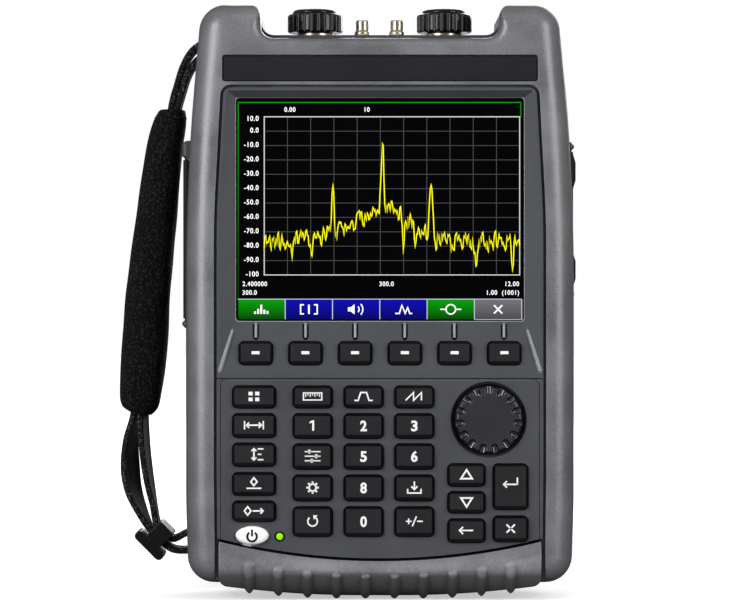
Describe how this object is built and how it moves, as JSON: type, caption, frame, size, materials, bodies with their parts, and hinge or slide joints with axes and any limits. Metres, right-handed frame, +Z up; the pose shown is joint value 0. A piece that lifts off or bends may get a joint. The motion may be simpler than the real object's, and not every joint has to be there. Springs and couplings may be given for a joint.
{
  "type": "handheld spectrum analyzer",
  "caption": "Upright sealed handheld instrument with a screen, soft keys, keypad, tuning knob, capped coaxial ports between two horns, and a padded hand strap.",
  "frame": {"origin": "on the ground under the middle of the body, at its middle depth", "axes": "+Z up, +X to the user's right, the user looks along +Y"},
  "size_m": [0.2259, 0.072, 0.2882],
  "materials": {
    "housing": "fine-textured grey moulded polycarbonate blend",
    "bumper": "fine-textured grey moulded bumper",
    "bezel": "smooth dark grey moulded plastic",
    "glass": "dark anti-glare cover glass",
    "screen_frame": "folded sheet",
    "title": "dark slate printed film",
    "panel": "matte dark grey moulded plastic",
    "board": "green glass-fibre board",
    "shield": "milled shield box",
    "battery": "dark moulded pack",
    "nickel": "nickel-plated brass",
    "socket": "pressed steel socket shells",
    "screw": "black-oxide steel",
    "lamp": "clear lens, lit green",
    "webbing": "woven black webbing",
    "sleeve": "black knit over foam",
    "buckle": "black moulded plastic",
    "knob": "soft-touch dark knob",
    "cap": "glossy black moulded plastic",
    "stand": "dark moulded plastic",
    "lid": "fine-textured grey moulded plastic",
    "catch": "dark moulded plastic",
    "door": "dark rubber",
    "button": "white satin plastic",
    "key": "dark silicone rubber"
  },
  "bodies": {
    "housing": {"front_housing": "housing", "rear_housing": "housing", "end_cap": "bumper", "display_bezel": "bezel", "display_window": "glass", "lcd_module": "screen_frame", "title_strip": "title", "keypad_plate": "panel", "keypad_board": "board", "main_board": "board", "rf_module": "shield", "battery_pack": "battery", "rf_connectors": "nickel", "io_jacks": "socket", "housing_screws": "screw", "status_led": "lamp", "strap_webbing": "webbing", "strap_sleeve": "sleeve", "strap_buckle": "buckle"},
    "tuning_knob": {"tuning_knob": "knob"},
    "left_port_cap": {"left_port_cap": "cap"},
    "right_port_cap": {"right_port_cap": "cap"},
    "bail_stand": {"bail_stand": "stand"},
    "battery_door": {"battery_door": "lid"},
    "battery_latch": {"battery_latch": "catch"},
    "left_io_door": {"left_io_door": "door"},
    "right_io_door": {"right_io_door": "door"},
    "power_button": {"power_button": "button"},
    "softkey_1": {"softkey_1": "key"},
    "softkey_2": {"softkey_2": "key"},
    "softkey_3": {"softkey_3": "key"},
    "softkey_4": {"softkey_4": "key"},
    "softkey_5": {"softkey_5": "key"},
    "softkey_6": {"softkey_6": "key"},
    "mode_key": {"mode_key": "key"},
    "frequency_key": {"frequency_key": "key"},
    "scale_key": {"scale_key": "key"},
    "marker_key": {"marker_key": "key"},
    "marker_tools_key": {"marker_tools_key": "key"},
    "measure_key": {"measure_key": "key"},
    "bandwidth_key": {"bandwidth_key": "key"},
    "sweep_key": {"sweep_key": "key"},
    "key_1": {"key_1": "key"},
    "key_2": {"key_2": "key"},
    "key_3": {"key_3": "key"},
    "setup_key": {"setup_key": "key"},
    "key_5": {"key_5": "key"},
    "key_6": {"key_6": "key"},
    "system_key": {"system_key": "key"},
    "key_8": {"key_8": "key"},
    "save_key": {"save_key": "key"},
    "preset_key": {"preset_key": "key"},
    "key_0": {"key_0": "key"},
    "sign_key": {"sign_key": "key"},
    "up_key": {"up_key": "key"},
    "down_key": {"down_key": "key"},
    "back_key": {"back_key": "key"},
    "enter_key": {"enter_key": "key"},
    "escape_key": {"escape_key": "key"}
  },
  "joints": [
    {"name": "knob_turn", "type": "hinge", "parent": "housing", "child": "tuning_knob", "pos_m": [0.0523, -0.032, 0.0874], "axis": [0, -1, 0], "continuous": true},
    {"name": "left_cap_lift", "type": "slide", "parent": "housing", "child": "left_port_cap", "axis": [0, 0, 1], "range_m": [0, 0.025]},
    {"name": "right_cap_lift", "type": "slide", "parent": "housing", "child": "right_port_cap", "axis": [0, 0, 1], "range_m": [0, 0.025]},
    {"name": "bail_swing", "type": "hinge", "parent": "housing", "child": "bail_stand", "pos_m": [0, 0.031, 0.203], "axis": [1, 0, 0], "range_deg": [0, 60]},
    {"name": "battery_door_swing", "type": "hinge", "parent": "housing", "child": "battery_door", "pos_m": [0, 0.0318, 0.0366], "axis": [-1, 0, 0], "range_deg": [0, 100]},
    {"name": "battery_latch_press", "type": "slide", "parent": "battery_door", "child": "battery_latch", "axis": [0, -1, 0], "range_m": [0, 0.0012], "stiffness_N_per_m": 500},
    {"name": "left_door_swing", "type": "hinge", "parent": "housing", "child": "left_io_door", "pos_m": [-0.0945, -0.009, 0.1707], "axis": [0, 0, 1], "range_deg": [0, 90]},
    {"name": "right_door_swing", "type": "hinge", "parent": "housing", "child": "right_io_door", "pos_m": [0.0929, -0.009, 0.1839], "axis": [0, 0, -1], "range_deg": [0, 90]},
    {"name": "power_button_press", "type": "slide", "parent": "housing", "child": "power_button", "axis": [0, 1, 0], "range_m": [0, 0.0008], "stiffness_N_per_m": 500},
    {"name": "softkey_1_press", "type": "slide", "parent": "housing", "child": "softkey_1", "axis": [0, 1, 0], "range_m": [0, 0.0008], "stiffness_N_per_m": 500},
    {"name": "softkey_2_press", "type": "slide", "parent": "housing", "child": "softkey_2", "axis": [0, 1, 0], "range_m": [0, 0.0008], "stiffness_N_per_m": 500},
    {"name": "softkey_3_press", "type": "slide", "parent": "housing", "child": "softkey_3", "axis": [0, 1, 0], "range_m": [0, 0.0008], "stiffness_N_per_m": 500},
    {"name": "softkey_4_press", "type": "slide", "parent": "housing", "child": "softkey_4", "axis": [0, 1, 0], "range_m": [0, 0.0008], "stiffness_N_per_m": 500},
    {"name": "softkey_5_press", "type": "slide", "parent": "housing", "child": "softkey_5", "axis": [0, 1, 0], "range_m": [0, 0.0008], "stiffness_N_per_m": 500},
    {"name": "softkey_6_press", "type": "slide", "parent": "housing", "child": "softkey_6", "axis": [0, 1, 0], "range_m": [0, 0.0008], "stiffness_N_per_m": 500},
    {"name": "mode_key_press", "type": "slide", "parent": "housing", "child": "mode_key", "axis": [0, 1, 0], "range_m": [0, 0.0008], "stiffness_N_per_m": 500},
    {"name": "frequency_key_press", "type": "slide", "parent": "housing", "child": "frequency_key", "axis": [0, 1, 0], "range_m": [0, 0.0008], "stiffness_N_per_m": 500},
    {"name": "scale_key_press", "type": "slide", "parent": "housing", "child": "scale_key", "axis": [0, 1, 0], "range_m": [0, 0.0008], "stiffness_N_per_m": 500},
    {"name": "marker_key_press", "type": "slide", "parent": "housing", "child": "marker_key", "axis": [0, 1, 0], "range_m": [0, 0.0008], "stiffness_N_per_m": 500},
    {"name": "marker_tools_key_press", "type": "slide", "parent": "housing", "child": "marker_tools_key", "axis": [0, 1, 0], "range_m": [0, 0.0008], "stiffness_N_per_m": 500},
    {"name": "measure_key_press", "type": "slide", "parent": "housing", "child": "measure_key", "axis": [0, 1, 0], "range_m": [0, 0.0008], "stiffness_N_per_m": 500},
    {"name": "bandwidth_key_press", "type": "slide", "parent": "housing", "child": "bandwidth_key", "axis": [0, 1, 0], "range_m": [0, 0.0008], "stiffness_N_per_m": 500},
    {"name": "sweep_key_press", "type": "slide", "parent": "housing", "child": "sweep_key", "axis": [0, 1, 0], "range_m": [0, 0.0008], "stiffness_N_per_m": 500},
    {"name": "key_1_press", "type": "slide", "parent": "housing", "child": "key_1", "axis": [0, 1, 0], "range_m": [0, 0.0008], "stiffness_N_per_m": 500},
    {"name": "key_2_press", "type": "slide", "parent": "housing", "child": "key_2", "axis": [0, 1, 0], "range_m": [0, 0.0008], "stiffness_N_per_m": 500},
    {"name": "key_3_press", "type": "slide", "parent": "housing", "child": "key_3", "axis": [0, 1, 0], "range_m": [0, 0.0008], "stiffness_N_per_m": 500},
    {"name": "setup_key_press", "type": "slide", "parent": "housing", "child": "setup_key", "axis": [0, 1, 0], "range_m": [0, 0.0008], "stiffness_N_per_m": 500},
    {"name": "key_5_press", "type": "slide", "parent": "housing", "child": "key_5", "axis": [0, 1, 0], "range_m": [0, 0.0008], "stiffness_N_per_m": 500},
    {"name": "key_6_press", "type": "slide", "parent": "housing", "child": "key_6", "axis": [0, 1, 0], "range_m": [0, 0.0008], "stiffness_N_per_m": 500},
    {"name": "system_key_press", "type": "slide", "parent": "housing", "child": "system_key", "axis": [0, 1, 0], "range_m": [0, 0.0008], "stiffness_N_per_m": 500},
    {"name": "key_8_press", "type": "slide", "parent": "housing", "child": "key_8", "axis": [0, 1, 0], "range_m": [0, 0.0008], "stiffness_N_per_m": 500},
    {"name": "save_key_press", "type": "slide", "parent": "housing", "child": "save_key", "axis": [0, 1, 0], "range_m": [0, 0.0008], "stiffness_N_per_m": 500},
    {"name": "preset_key_press", "type": "slide", "parent": "housing", "child": "preset_key", "axis": [0, 1, 0], "range_m": [0, 0.0008], "stiffness_N_per_m": 500},
    {"name": "key_0_press", "type": "slide", "parent": "housing", "child": "key_0", "axis": [0, 1, 0], "range_m": [0, 0.0008], "stiffness_N_per_m": 500},
    {"name": "sign_key_press", "type": "slide", "parent": "housing", "child": "sign_key", "axis": [0, 1, 0], "range_m": [0, 0.0008], "stiffness_N_per_m": 500},
    {"name": "up_key_press", "type": "slide", "parent": "housing", "child": "up_key", "axis": [0, 1, 0], "range_m": [0, 0.0008], "stiffness_N_per_m": 500},
    {"name": "down_key_press", "type": "slide", "parent": "housing", "child": "down_key", "axis": [0, 1, 0], "range_m": [0, 0.0008], "stiffness_N_per_m": 500},
    {"name": "back_key_press", "type": "slide", "parent": "housing", "child": "back_key", "axis": [0, 1, 0], "range_m": [0, 0.0008], "stiffness_N_per_m": 500},
    {"name": "enter_key_press", "type": "slide", "parent": "housing", "child": "enter_key", "axis": [0, 1, 0], "range_m": [0, 0.0008], "stiffness_N_per_m": 500},
    {"name": "escape_key_press", "type": "slide", "parent": "housing", "child": "escape_key", "axis": [0, 1, 0], "range_m": [0, 0.0008], "stiffness_N_per_m": 500}
  ]
}
